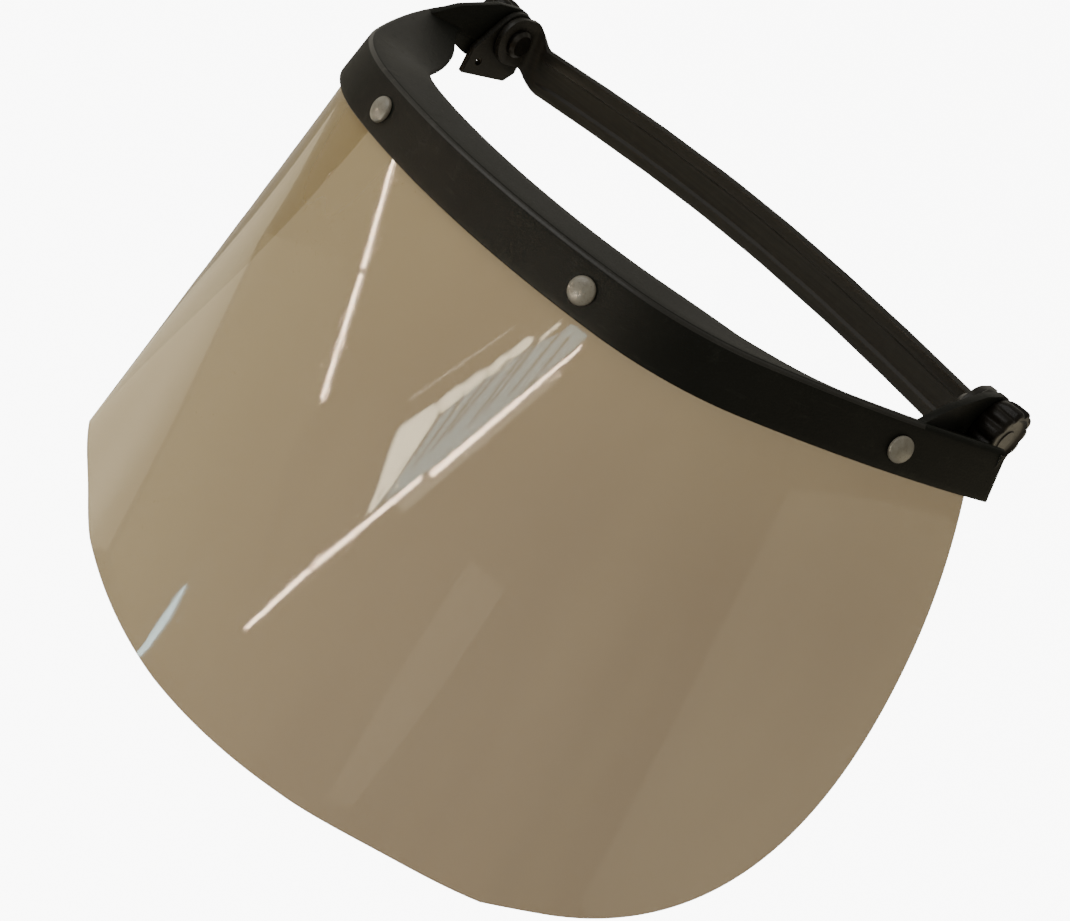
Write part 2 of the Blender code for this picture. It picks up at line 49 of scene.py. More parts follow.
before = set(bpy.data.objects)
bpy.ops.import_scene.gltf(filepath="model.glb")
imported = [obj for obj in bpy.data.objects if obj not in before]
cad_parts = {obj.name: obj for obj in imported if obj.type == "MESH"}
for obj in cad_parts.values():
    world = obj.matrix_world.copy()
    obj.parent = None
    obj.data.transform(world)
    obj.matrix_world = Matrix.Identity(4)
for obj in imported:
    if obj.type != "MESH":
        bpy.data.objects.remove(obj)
solid_low, solid_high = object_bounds()

# Plan of the carrier: three tangent arcs from the front centre to one arm end
FRONT_RADIUS = 221.8 * MM
FRONT_TURN = 0.2616                # radians turned by the front arc
CORNER_RADIUS = 65.9 * MM
CORNER_TURN = 0.6958
ARM_RADIUS = 412.8 * MM
ARM_LENGTH = 90.6 * MM
FRONT_RUN = FRONT_RADIUS * FRONT_TURN
ARM_START = FRONT_RUN + CORNER_RADIUS * CORNER_TURN
CARRIER_RUN = ARM_START + ARM_LENGTH

# Section of the carrier
GAP = 0.3 * MM
CARRIER_TOP = 1.7 * MM
WALL_HEIGHT = 16.7 * MM
WALL_FLARE = 0.2172                # radians the wall leans out towards its lower edge
WALL_THICKNESS = 2.5 * MM
LEDGE_THICKNESS = 2.2 * MM
LEDGE_END = 17.0 * MM
LEDGE_WIDTHS = ((0.0, 19.7 * MM), (FRONT_RUN, 20.3 * MM), (ARM_START, 23.6 * MM),
                (ARM_START + ARM_LENGTH / 2, 20.3 * MM),
                (CARRIER_RUN - 17.5 * MM, 12.0 * MM), (CARRIER_RUN, LEDGE_END))
LEDGE_ROLL = 0.35                  # radians the ledge slopes down inwards along the arms
LEDGE_ROLL_RUN = 92.0 * MM
EDGE_ROUND = 1.6 * MM
EDGE_HIGHLIGHT_SLOPES = (0.45, 0.93)       # upward part of the normal where the rounded edge gets the painted highlight
JOIN_BEVEL = 0.3 * MM
CARRIER_COLUMNS = 190
CARRIER_OVERRUN = 6.0 * MM         # swept past the arms' ends and then cut off
END_WALL = 2.3 * MM
LEAN = math.tan(WALL_FLARE)
WALL_BOTTOM = CARRIER_TOP - WALL_HEIGHT

# Visor sheet, as its flat blank
SHEET = 1.0 * MM
VISOR_DROP = 182.1 * MM
VISOR_TUCK = 11.0 * MM
VISOR_HALF_TOP = 190.9 * MM
VISOR_HALF_WIDE = 200.2 * MM
WIDE_DROP = 58.0 * MM
HEM_BOW = 48.0 * MM
HEM_SLOPE = 0.121
HEM_CORNER_START = 123.0 * MM
HEM_PULL = 51.0 * MM               # handles of the rounded corner's curve
SIDE_PULL = 65.0 * MM
FLARES = (0.155, 0.132, 0.249)     # lean of the sheet at the front, half way and the arm end
FLARE_FULL_TURN = 1.228
VISOR_FACE = WALL_THICKNESS + GAP

# Rivets
RIVET_RUNS = (48.5 * MM, 157.3 * MM)
RIVET_DEPTH = 0.535
RIVET_HEAD = 8.6 * MM
RIVET_BRIM = 0.45 * MM
RIVET_SHANK_RADIUS = 1.8 * MM
RIVET_DOME = 2.0 * MM
RIVET_FOOT = 6.4 * MM
RIVET_FOOT_THICKNESS = 1.1 * MM
RIVET_FOOT_STRAIGHT = 0.6          # share of the foot's thickness before it narrows
RIVET_FOOT_END = 0.75              # and the share of its width at its end

# Pivots
LUG_INNER = 115.0 * MM
LUG_THICKNESS = 2.6 * MM
PLATE_THICKNESS = 2.5 * MM
EAR_THICKNESS = 2.5 * MM
EAR_RADIUS = 11.0 * MM
EAR_CREST = 12.0 * MM              # the ear's level top reaches this far ahead of the pivot
EAR_HEEL = 18.0 * MM               # and its level foot
EAR_SHOULDER = 31.3 * MM
EAR_SHOULDER_RISE = 6.7 * MM
EAR_WEB = 38.0 * MM
EAR_TIE = 44.0 * MM
EAR_INNER = LUG_INNER + LUG_THICKNESS + PLATE_THICKNESS + 2 * GAP
KNOB_INNER = EAR_INNER + EAR_THICKNESS + GAP
KNOB_DIAMETER = 23.0 * MM
KNOB_LENGTH = 9.0 * MM
KNOB_CLEARANCE = 1.4 * MM
KNOB_EDGE = 1.3 * MM
KNOB_FACE = ((1.2, 0.0), (0.9, -0.8), (0.8, -0.2), (3.2, 0.0), (0.4, 0.35))
#            mm inwards and upwards: flat rim, its slope, fillet, floor of the dish, boss
KNOB_FLUTES = 12
FLUTE_DEPTH = 1.1 * MM
FLUTE_REACH, FLUTE_FADE = 2.6 * MM, 1.6 * MM       # how far in the flutes go and fade out
FOOT_START, FOOT_FADE = 0.6 * MM, 1.8 * MM         # and where they begin above the foot
FOOT_TAPER = 1.3 * MM
ARM_STOP = -KNOB_DIAMETER / 2 - KNOB_CLEARANCE     # nothing of the arm lies behind this

# The photograph's view, found from the carrier's and the visor's outlines
IMAGE_WIDTH, IMAGE_HEIGHT = 1070, 921      # pixels
VIEW_TURN = 0.55387                # radians round Z, from looking along +Y
VIEW_RAISE = 0.42684
VIEW_ROLL = 0.53525
FOCAL_PIXELS = 1702.04
SENSOR_WIDTH = 36.0                # mm
EYE = Vector((0.29852, -0.50366, 0.14706))


# Shader maths

class Value:
    """A socket on which Python's operators add Math nodes."""

    def __init__(self, paint, socket):
        self.paint = paint
        self.socket = socket

    def maths(self, operation, *values):
        made = self.paint.node("ShaderNodeMath", {"operation": operation}, values)
        return Value(self.paint, made.outputs[0])

    def __add__(self, other):
        return self.maths("ADD", self, other)

    def __sub__(self, other):
        return self.maths("SUBTRACT", self, other)

    def __rsub__(self, other):
        return self.maths("SUBTRACT", other, self)

    def __mul__(self, other):
        return self.maths("MULTIPLY", self, other)

    __radd__ = __add__
    __rmul__ = __mul__

    def between(self, low, high):
        """0 below low, 1 above high, smooth between them."""
        made = self.paint.node("ShaderNodeMapRange", {"interpolation_type": "SMOOTHSTEP"},
                               {"Value": self, "From Min": low, "From Max": high})
        return Value(self.paint, made.outputs[0])


class Paint:
    """One procedural material, or the world, built round its shader."""

    def __init__(self, name, world=False):
        self.material = (bpy.data.worlds if world else bpy.data.materials).new(name)
        self.material.use_nodes = True
        self.tree = self.material.node_tree
        self.shader = self.tree.nodes["Background" if world else "Principled BSDF"]
        self.place = self.node("ShaderNodeTexCoord", {}, {}).outputs[
            "Generated" if world else "Object"]

    def node(self, kind, settings, inputs):
        made = self.tree.nodes.new(kind)
        for key, value in settings.items():
            setattr(made, key, value)
        pairs = inputs.items() if isinstance(inputs, dict) else enumerate(inputs)
        for key, value in pairs:
            self.feed(made.inputs[key], value)
        return made

    def feed(self, socket, value):
        if isinstance(value, Value):
            value = value.socket
        if isinstance(value, bpy.types.NodeSocket):
            self.tree.links.new(value, socket)
        else:
            socket.default_value = value

    def stretched(self, scale):
        made = self.node("ShaderNodeMapping", {}, {"Vector": self.place, "Scale": scale})
        return made.outputs[0]

    def noise(self, scale, detail, rough=0.5, place=None):
        made = self.node("ShaderNodeTexNoise", {}, {
            "Vector": place or self.place, "Scale": scale, "Detail": detail, "Roughness": rough})
        return Value(self, made.outputs[0])

    def cells(self, scale):
        made = self.node("ShaderNodeTexVoronoi", {}, {"Vector": self.place, "Scale": scale})
        return Value(self, made.outputs[0])

    def axis(self, letter):
        made = self.node("ShaderNodeSeparateXYZ", {}, [self.place])
        return Value(self, made.outputs[letter])

    def blend(self, factor, first, second):
        made = self.node("ShaderNodeMix", {"data_type": "RGBA"}, {0: factor})
        self.feed(made.inputs[6], first if not isinstance(first, tuple) else (*first, 1.0))
        self.feed(made.inputs[7], second if not isinstance(second, tuple) else (*second, 1.0))
        return made.outputs[2]

    def bump(self, height, strength, distance):
        made = self.node("ShaderNodeBump", {}, {"Height": height, "Strength": strength,
                                                "Distance": distance})
        self.feed(self.shader.inputs["Normal"], made.outputs[0])

    def finish(self, color=None, roughness=None, alpha=None, **constants):
        for name, value in (("Base Color", color), ("Roughness", roughness), ("Alpha", alpha)):
            if value is not None:
                if isinstance(value, tuple):
                    value = (*value, 1.0)
                self.feed(self.shader.inputs[name], value)
        for key, value in constants.items():
            self.shader.inputs[key.replace("_", " ")].default_value = value
        return self.material


def moulded_plastic(name, dark, light, gloss, shine, grain=0.5):
    """Black moulded plastic: clouded tone, spark-eroded grain, handling marks."""
    paint = Paint(name)
    clouds = paint.noise(28.0, 4.0)
    grit = paint.noise(2600.0, 2.0)
    scuffs = paint.noise(1.0, 5.0, 0.62, paint.stretched((90.0, 90.0, 600.0))).between(0.60, 0.72)
    tone = paint.blend(clouds.between(0.35, 0.7), dark, light)
    mottle = paint.noise(130.0, 6.0, 0.68).between(0.56, 0.74)
    tone = paint.blend(mottle * 0.5, tone, tuple(1.9 * c for c in light))
    color = paint.blend(scuffs * 0.35, tone, tuple(2.6 * c for c in light))
    rough = gloss + 0.12 * (grit - 0.5) + 0.10 * (clouds - 0.5) + 0.08 * scuffs
    pits = paint.cells(1500.0)
    paint.bump(0.6 * grit + 0.4 * pits + 0.8 * mottle, grain, 0.00012)
    return paint.finish(color, rough, Specular_IOR_Level=shine)


def strap_plastic():
    """Flexible strap: satin, with patchy dust and faint flow lines along it."""
    paint = Paint("strap_satin_black")
    flow = paint.noise(1.0, 4.0, 0.6, paint.stretched((14.0, 60.0, 900.0)))
    dust = paint.noise(160.0, 6.0, 0.7).between(0.55, 0.8)
    grit = paint.noise(2200.0, 2.0)
    color = paint.blend(flow.between(0.3, 0.7), (0.0150, 0.0136, 0.0105), (0.024, 0.0218, 0.0172))
    color = paint.blend(dust * 0.22, color, (0.065, 0.060, 0.049))
    paint.bump(0.7 * grit + 0.3 * flow, 0.45, 0.00012)
    return paint.finish(color, 0.42 + 0.14 * (flow - 0.5) + 0.10 * dust, Specular_IOR_Level=0.28)


def rivet_plastic():
    """Off-white rivets, patchily stained and faintly scratched."""
    paint = Paint("rivet_off_white")
    stain = paint.noise(420.0, 5.0, 0.65)
    speck = paint.noise(1900.0, 2.0).between(0.62, 0.72)
    color = paint.blend(stain.between(0.35, 0.75), (0.270, 0.250, 0.200), (0.195, 0.176, 0.138))
    color = paint.blend(speck * 0.5, color, (0.10, 0.088, 0.068))
    paint.bump(stain, 0.25, 0.0002)
    return paint.finish(color, 0.36 + 0.2 * (stain - 0.5))


def bolt_metal():
    """Steel blacked against rust, with turning marks."""
    paint = Paint("bolt_blacked_steel")
    turned = paint.noise(1.0, 3.0, 0.6, paint.stretched((4000.0, 300.0, 300.0)))
    tarnish = paint.noise(330.0, 4.0).between(0.45, 0.75)
    color = paint.blend(tarnish, (0.050, 0.047, 0.042), (0.026, 0.023, 0.019))
    paint.bump(turned, 0.2, 0.0001)
    return paint.finish(color, 0.34 + 0.25 * tarnish, Metallic=1.0)


# Painted shading across the sheet: the lit colour at the wearer's right, the shaded colour at the
# left.
TINT_PAINTED_LIT = (0.520, 0.382, 0.160)       # painted lit side: the wearer's right, towards the light
TINT_PAINTED_SHADED = (0.238, 0.128, 0.052)
TINT_PAINTED_GLOW_AND_STREAKS = (0.580, 0.435, 0.200)        # painted glow near the wall, and the paler flow streaks


def tinted_sheet():
    """Smoke-tinted clear sheet with faint flow streaks, fine scratches and dust, plus painted
    shading.
    """
    paint = Paint("visor_smoke_tint_painted_shading")
    streaks = paint.noise(1.0, 3.0, 0.5, paint.stretched((26.0, 26.0, 2.2)))
    dust = paint.noise(1300.0, 2.0).between(0.70, 0.76)
    hair = paint.noise(1.0, 2.0, 0.5, paint.stretched((700.0, 700.0, 30.0))).between(0.66, 0.70)
    # Painted shading: lit colour towards the wearer's right (-X), shaded colour towards the left.
    side = paint.axis("X").between(-0.12, 0.12)
    color = paint.blend(side, TINT_PAINTED_LIT, TINT_PAINTED_SHADED)
    # Painted glow: paler in a band just under the wall.
    color = paint.blend(paint.axis("Z").between(-0.075, -0.012) * 0.28, color, TINT_PAINTED_GLOW_AND_STREAKS)
    color = paint.blend(streaks.between(0.35, 0.7) * 0.18, color, TINT_PAINTED_GLOW_AND_STREAKS)
    color = paint.blend(dust * 0.35, color, (0.12, 0.09, 0.06))
    edge_on = Value(paint, paint.node("ShaderNodeLayerWeight", {}, {"Blend": 0.35}).outputs[1])
    paint.bump(0.5 * streaks + 0.5 * hair, 0.03, 0.0002)
    return paint.finish(color, 0.035 + 0.05 * hair + 0.02 * (streaks - 0.5),
                        alpha=0.48 + 0.15 * edge_on + 0.10 * dust, IOR=1.58,
                        Specular_IOR_Level=0.24)


def tinted_rim():
    """Cut edge of the sheet: the tint gathers there and the saw leaves fine marks."""
    paint = Paint("visor_cut_edge")
    saw = paint.noise(1.0, 3.0, 0.6, paint.stretched((900.0, 900.0, 900.0)))
    color = paint.blend(saw.between(0.3, 0.7), (0.040, 0.028, 0.015), (0.080, 0.058, 0.034))
    paint.bump(saw, 0.3, 0.0002)
    return paint.finish(color, 0.35 + 0.2 * (saw - 0.5), IOR=1.58)


CARRIER_BLACK = moulded_plastic("carrier_satin_black", (0.0066, 0.0071, 0.0052),
                                (0.0100, 0.0106, 0.0080), 0.48, 0.14)
KNOB_BLACK = moulded_plastic("knob_black", (0.0070, 0.0060, 0.0045),
                             (0.0120, 0.0100, 0.0074), 0.36, 0.18)
PLATE_GREY = moulded_plastic("plate_dark_grey", (0.0120, 0.0112, 0.0088),
                             (0.0210, 0.0195, 0.0155), 0.46, 0.25)
# Lighter plastic for a painted highlight along the carrier's rounded top edge.
CARRIER_PAINTED_HIGHLIGHT = moulded_plastic("carrier_painted_edge_highlight", (0.0230, 0.0220, 0.0185),
                               (0.0340, 0.0325, 0.0280), 0.38, 0.30)
STRAP_BLACK = strap_plastic()
RIVET_WHITE = rivet_plastic()
BOLT_STEEL = bolt_metal()
VISOR_TINT_PAINTED_SHADING = tinted_sheet()
VISOR_RIM = tinted_rim()


# Modelling helpers

class Editing:
    """Edit mode on one piece, with selection by rule."""

    def __init__(self, piece):
        self.piece = piece

    def __enter__(self):
        bpy.ops.object.select_all(action="DESELECT")
        self.piece.select_set(True)
        bpy.context.view_layer.objects.active = self.piece
        bpy.ops.object.mode_set(mode="EDIT")
        bpy.ops.mesh.select_all(action="DESELECT")
        return self

    def __exit__(self, *_):
        bpy.ops.object.mode_set(mode="OBJECT")

    def pick(self, kind, rule):
        """Select only the vertices, edges or faces for which rule is true."""
        modes = {"verts": "VERT", "edges": "EDGE", "faces": "FACE"}
        bpy.ops.mesh.select_mode(type=modes[kind])
        bpy.ops.mesh.select_all(action="DESELECT")
        grid = bmesh.from_edit_mesh(self.piece.data)
        for part in getattr(grid, kind):
            part.select_set(bool(rule(part)))
        grid.select_flush_mode()
        bmesh.update_edit_mesh(self.piece.data)


def start(add, name, **settings):
    bpy.ops.object.select_all(action="DESELECT")
    add(**settings)
    piece = bpy.context.active_object
    piece.name = piece.data.name = name
    return piece


def settle(piece):
    """Put the piece's place in its mesh, with its origin at the world's."""
    bpy.ops.object.select_all(action="DESELECT")
    piece.select_set(True)
    bpy.context.view_layer.objects.active = piece
    bpy.ops.object.transform_apply(location=True, rotation=True, scale=True)


def apply_modifier(piece, kind, **settings):
    modifier = piece.modifiers.new(kind.lower(), kind)
    for key, value in settings.items():
        setattr(modifier, key, value)
    bpy.ops.object.select_all(action="DESELECT")
    piece.select_set(True)
    bpy.context.view_layer.objects.active = piece
    bpy.ops.object.modifier_apply(modifier=modifier.name)


def tidy_mesh(piece, distance=1e-6):
    with Editing(piece):
        bpy.ops.mesh.select_all(action="SELECT")
        bpy.ops.mesh.remove_doubles(threshold=distance)
        bpy.ops.mesh.normals_make_consistent(inside=False)


def dress(piece, body, nodes, slot, *materials, angle=35.0):
    """Shade, paint and hand the piece over to its body."""
    piece.data.materials.clear()
    for material in materials:
        piece.data.materials.append(material)
    bpy.ops.object.select_all(action="DESELECT")
    piece.select_set(True)
    bpy.context.view_layer.objects.active = piece
    bpy.ops.object.shade_smooth_by_angle(angle=math.radians(angle))
    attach(piece, body)
    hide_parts(*nodes)
    return piece


def spread(first, last, count):
    return [first + (last - first) * i / count for i in range(count + 1)]


def curve_through(value, knots):
    """Smooth curve through (position, value) pairs."""
    slopes = [(b[1] - a[1]) / (b[0] - a[0]) for a, b in zip(knots, knots[1:])]
    bends = [slopes[0]] + [(p + q) / 2 for p, q in zip(slopes, slopes[1:])] + [slopes[-1]]
    for i, ((a, va), (b, vb)) in enumerate(zip(knots, knots[1:])):
        if value <= b or i == len(slopes) - 1:
            width = b - a
            t = (value - a) / width
            ease = t * t * (3.0 - 2.0 * t)
            return (va + (vb - va) * ease + width * t * (1.0 - t)
                    * (bends[i] * (1.0 - t) - bends[i + 1] * t))


def arcs(run):
    """Point and turn on the three arcs, a distance along them from the front centre."""
    x, y, turn, left = 0.0, 0.0, 0.0, run
    for radius, length in ((FRONT_RADIUS, FRONT_RUN), (CORNER_RADIUS, ARM_START - FRONT_RUN),
                           (ARM_RADIUS, math.inf)):
        step = min(left, length)
        after = turn + step / radius
        x += radius * (math.sin(after) - math.sin(turn))
        y += radius * (math.cos(turn) - math.cos(after))
        turn = after
        left -= step
    return x, y, turn


FRONT_REACH = arcs(CARRIER_RUN)[1] - (ARM_STOP - END_WALL + GAP)


def plan(run):
    """Point and turn of the wall's upper outer edge; run is negative on the right."""
    side = -1.0 if run < 0.0 else 1.0
    x, y, turn = arcs(abs(run))
    return side * x, y - FRONT_REACH, side * turn


def offset(run, out, z):
    x, y, turn = plan(run)
    return Vector((x + out * math.sin(turn), y - out * math.cos(turn), z))


def swept(name, runs, section):
    """A grid primitive whose columns follow runs and whose rows follow section(run)."""
    count = len(section(runs[0]))
    piece = start(bpy.ops.mesh.primitive_grid_add, name, size=1.0,
                  x_subdivisions=len(runs) - 1, y_subdivisions=count)
    for vertex in piece.data.vertices:
        column = round((vertex.co.x + 0.5) * (len(runs) - 1))
        row = round((vertex.co.y + 0.5) * count)
        vertex.co = section(runs[column])[row % count]
    with Editing(piece):
        bpy.ops.mesh.select_all(action="SELECT")
        bpy.ops.mesh.remove_doubles(threshold=1e-6)
        bpy.ops.mesh.select_all(action="DESELECT")
        bpy.ops.mesh.select_mode(type="EDGE")
        bpy.ops.mesh.select_non_manifold()
        bpy.ops.mesh.fill_holes(sides=0)
        bpy.ops.mesh.select_all(action="SELECT")
        bpy.ops.mesh.normals_make_consistent(inside=False)
    return piece


# Visor

def hem(run):
    """Drop of the hem: bowed at the front, then straight."""
    if run < HEM_BOW:
        return VISOR_DROP - HEM_SLOPE * run ** 2 / (2.0 * HEM_BOW)
    return VISOR_DROP - HEM_SLOPE * (run - HEM_BOW / 2.0)


def corner_curve(share):
    """Rounding from the side edge (0) to the hem (1)."""
    first = (VISOR_HALF_WIDE, WIDE_DROP)
    side = (VISOR_HALF_WIDE, WIDE_DROP + SIDE_PULL)
    last = (HEM_CORNER_START, hem(HEM_CORNER_START))
    below = (last[0] + HEM_PULL, last[1] - HEM_SLOPE * HEM_PULL)
    keep = 1.0 - share
    return tuple(keep ** 3 * first[i] + 3 * keep * keep * share * side[i]
                 + 3 * keep * share * share * below[i] + share ** 3 * last[i]
                 for i in range(2))


def side_edge(share):
    """Side edge from the wall's foot (0) to the middle of the corner (1)."""
    split = 0.45
    if share < split:
        part = share / split
        widen = 1.0 - (1.0 - part) ** 2
        return (VISOR_HALF_TOP + (VISOR_HALF_WIDE - VISOR_HALF_TOP) * widen, WIDE_DROP * part)
    return corner_curve(0.5 * (share - split) / (1.0 - split))


def hem_edge(share):
    """Hem from the middle of the front (0) to the middle of the corner (1)."""
    split = 0.55
    if share < split:
        run = HEM_CORNER_START * share / split
        return (run, hem(run))
    return corner_curve(1.0 - 0.5 * (share - split) / (1.0 - split))


def blank_point(across, down):
    """Half of the blank below the wall, blended from its four edges."""
    top = (VISOR_HALF_TOP * across, 0.0)
    middle = (0.0, VISOR_DROP * down)
    low, side, corner = hem_edge(across), side_edge(down), side_edge(1.0)
    return tuple((1 - down) * top[i] + down * low[i] + (1 - across) * middle[i]
                 + across * side[i]
                 - (across * (1 - down) * (VISOR_HALF_TOP, 0.0)[i]
                    + (1 - across) * down * (0.0, VISOR_DROP)[i]
                    + across * down * corner[i])
                 for i in range(2))


def visor_point(run, drop):
    """Where a point of the blank lies once the blank is bent to the wall."""
    turn = abs(plan(run)[2])
    flare = curve_through(turn, ((0.0, FLARES[0]), (FLARE_FULL_TURN / 2, FLARES[1]),
                                 (FLARE_FULL_TURN, FLARES[2])))
    if drop < 0.0:
        flare = WALL_FLARE
    rest = LEAN * WALL_HEIGHT - VISOR_FACE
    return offset(run, rest + drop * math.sin(flare), WALL_BOTTOM - drop * math.cos(flare))


def make_visor():
    """The bent blank, tucked up behind the wall, with its thickness and cut edge."""
    columns, rows, tuck_rows = 168, 66, 4
    sheet = start(bpy.ops.mesh.primitive_grid_add, "visor_sheet", size=1.0,
                  x_subdivisions=columns, y_subdivisions=rows + tuck_rows)
    for vertex in sheet.data.vertices:
        across = 2.0 * vertex.co.x
        row = round((0.5 - vertex.co.y) * (rows + tuck_rows))
        side = -1.0 if across < 0.0 else 1.0
        if row < tuck_rows:
            run, drop = VISOR_HALF_TOP * abs(across), VISOR_TUCK * (row / tuck_rows - 1.0)
        else:
            run, drop = blank_point(abs(across), (row - tuck_rows) / rows)
        vertex.co = visor_point(side * run, drop)
    with Editing(sheet):
        bpy.ops.mesh.select_all(action="SELECT")
        bpy.ops.mesh.normals_make_consistent(inside=False)
    if sheet.data.polygons[0].normal.y > 0.0:
        sheet.data.flip_normals()
    apply_modifier(sheet, "SOLIDIFY", thickness=SHEET, offset=-1.0, use_even_offset=True,
                   material_offset_rim=1)
    return dress(sheet, "shield", ["visor"], "tinted_sheet", VISOR_TINT_PAINTED_SHADING, VISOR_RIM)


# Carrier

def ledge_roll(run):
    """The ledge is level across the front and slopes down inwards along the arms."""
    share = min(max((run - FRONT_RUN) / LEDGE_ROLL_RUN, 0.0), 1.0)
    return LEDGE_ROLL * share * share * (3.0 - 2.0 * share)


def ledge_top(run, inward):
    return CARRIER_TOP - max(inward - EDGE_ROUND, 0.0) * math.tan(ledge_roll(run))


def carrier_section(run):
    """Section of the moulding, with every edge rounded, as points round the loop."""
    here = min(abs(run), CARRIER_RUN)
    width, roll = curve_through(here, LEDGE_WIDTHS), ledge_roll(here)
    tilt = math.tan(roll)
    inward = Vector((-math.cos(roll), -math.sin(roll)))
    down = Vector((math.sin(roll), -math.cos(roll)))
    foot, top, lip, fillet = LEAN * WALL_HEIGHT, CARRIER_TOP, 0.4 * MM, 1.0 * MM
    points = []
    for depth in spread(WALL_HEIGHT - lip, EDGE_ROUND, 8):
        points.append((LEAN * depth, top - depth))
    for angle in spread(0.0, math.pi / 2, 7)[1:]:
        points.append((EDGE_ROUND * (math.cos(angle) - 1.0 + LEAN * (1.0 - math.sin(angle))),
                       top - EDGE_ROUND * (1.0 - math.sin(angle))))
    nose = LEDGE_THICKNESS / 2
    for reach in spread(EDGE_ROUND, width - nose, 5)[1:]:
        points.append((-reach, ledge_top(here, reach)))
    centre = Vector(points[-1]) + down * nose
    for angle in spread(0.0, math.pi, 8)[1:]:
        points.append(tuple(centre - down * nose * math.cos(angle)
                            + inward * nose * math.sin(angle)))
    under = down * LEDGE_THICKNESS
    meet = ((-under.y + (WALL_THICKNESS - EDGE_ROUND + under.x) * tilt) / (1.0 + LEAN * tilt))
    corner = Vector((LEAN * meet - WALL_THICKNESS, top - meet))
    fall = Vector((LEAN, -1.0))
    points += [tuple(corner + inward * 3 * fillet), tuple(corner + inward * fillet),
               tuple(corner + (inward + fall) * 0.3 * fillet), tuple(corner + fall * fillet),
               (foot - WALL_THICKNESS - LEAN * lip, WALL_BOTTOM + lip),
               (foot - WALL_THICKNESS + lip, WALL_BOTTOM), (foot - lip, WALL_BOTTOM)]
    return [offset(run, out, z) for out, z in points]


def ear_outline():
    """Side view (y, z) of the ear: a round end on the pivot and a web into the arm."""
    under = CARRIER_TOP - LEDGE_THICKNESS
    points = [(-EAR_TIE, CARRIER_TOP - GAP), (-EAR_TIE, under - GAP),
              (-EAR_WEB, under - 7 * GAP), (-EAR_HEEL, -EAR_RADIUS)]
    for angle in spread(-math.pi / 2, math.pi / 2, 40):
        points.append((EAR_RADIUS * math.cos(angle), EAR_RADIUS * math.sin(angle)))
    return points + [(-EAR_CREST, EAR_RADIUS), (-EAR_SHOULDER, EAR_SHOULDER_RISE)]


def flat_block(name, outline, x_low, x_high):
    """A circle's points laid on a (y, z) outline and pulled out along X."""
    block = start(bpy.ops.mesh.primitive_circle_add, name, vertices=len(outline),
                  radius=1.0, fill_type="NGON")
    for vertex, (y, z) in zip(block.data.vertices, outline):
        vertex.co = (x_low, y, z)
    with Editing(block):
        bpy.ops.mesh.select_all(action="SELECT")
        bpy.ops.mesh.extrude_region_move(
            TRANSFORM_OT_translate={"value": (x_high - x_low, 0, 0)})
        bpy.ops.mesh.select_all(action="SELECT")
        bpy.ops.mesh.normals_make_consistent(inside=False)
    return block


def end_wall(side):
    """Wall across an arm's end, which follows the ledge's slope along its top."""
    root = EAR_INNER + EAR_THICKNESS / 2
    reach = arcs(CARRIER_RUN)[0] + LEAN * EAR_RADIUS - WALL_THICKNESS / 2
    tops = {False: ledge_top(CARRIER_RUN, LEDGE_END) - LEDGE_THICKNESS / 2,
            True: CARRIER_TOP - LEDGE_THICKNESS / 2}
    block = start(bpy.ops.mesh.primitive_cube_add, "end_wall", size=2.0)
    for vertex in block.data.vertices:
        outer, back, high = (c > 0.0 for c in vertex.co)
        vertex.co = (side * (reach if outer else root),
                     ARM_STOP - (GAP / 2 if back else END_WALL),
                     tops[outer] if high else -EAR_RADIUS)
    tidy_mesh(block)
    return block


def make_carrier():
    """The swept moulding, cut off at the arms' ends and joined to its ears."""
    past_end = CARRIER_RUN + CARRIER_OVERRUN
    carrier = swept("carrier_moulding", spread(-past_end, past_end, CARRIER_COLUMNS),
                    carrier_section)
    with Editing(carrier):
        bpy.ops.mesh.select_all(action="SELECT")
        bpy.ops.mesh.bisect(plane_co=(0.0, ARM_STOP, 0.0), plane_no=(0.0, 1.0, 0.0),
                            use_fill=True, clear_outer=True)
    for side in (-1.0, 1.0):
        ear = flat_block("ear", ear_outline(), side * EAR_INNER,
                         side * (EAR_INNER + EAR_THICKNESS))
        for tool in (ear, end_wall(side)):
            apply_modifier(carrier, "BOOLEAN", operation="UNION", object=tool, solver="EXACT")
            bpy.data.objects.remove(tool, do_unlink=True)
    apply_modifier(carrier, "BEVEL", width=JOIN_BEVEL, segments=2, limit_method="ANGLE",
                   angle_limit=math.radians(50))
    tidy_mesh(carrier)
    dress(carrier, "shield", ["carrier"], "carrier_black", CARRIER_BLACK, CARRIER_PAINTED_HIGHLIGHT)
    # Upward-sloping faces of the rounded top edge get the lighter material: a painted highlight,
    # not wear.
    least, most = EDGE_HIGHLIGHT_SLOPES
    for face in carrier.data.polygons:
        highlit = face.center.z > CARRIER_TOP - EDGE_ROUND and least < face.normal.z < most
        if highlit and face.center.y < -EAR_TIE:
            face.material_index = 1


# Rivets

def rivet_matrix(run):
    drop = RIVET_DEPTH * WALL_HEIGHT
    place = offset(run, LEAN * drop, CARRIER_TOP - drop)
    turn = plan(run)[2]
    axis = Vector((math.sin(turn) * math.cos(WALL_FLARE),
                   -math.cos(turn) * math.cos(WALL_FLARE), math.sin(WALL_FLARE)))
    return Matrix.Translation(place) @ axis.to_track_quat("Z", "Y").to_matrix().to_4x4()


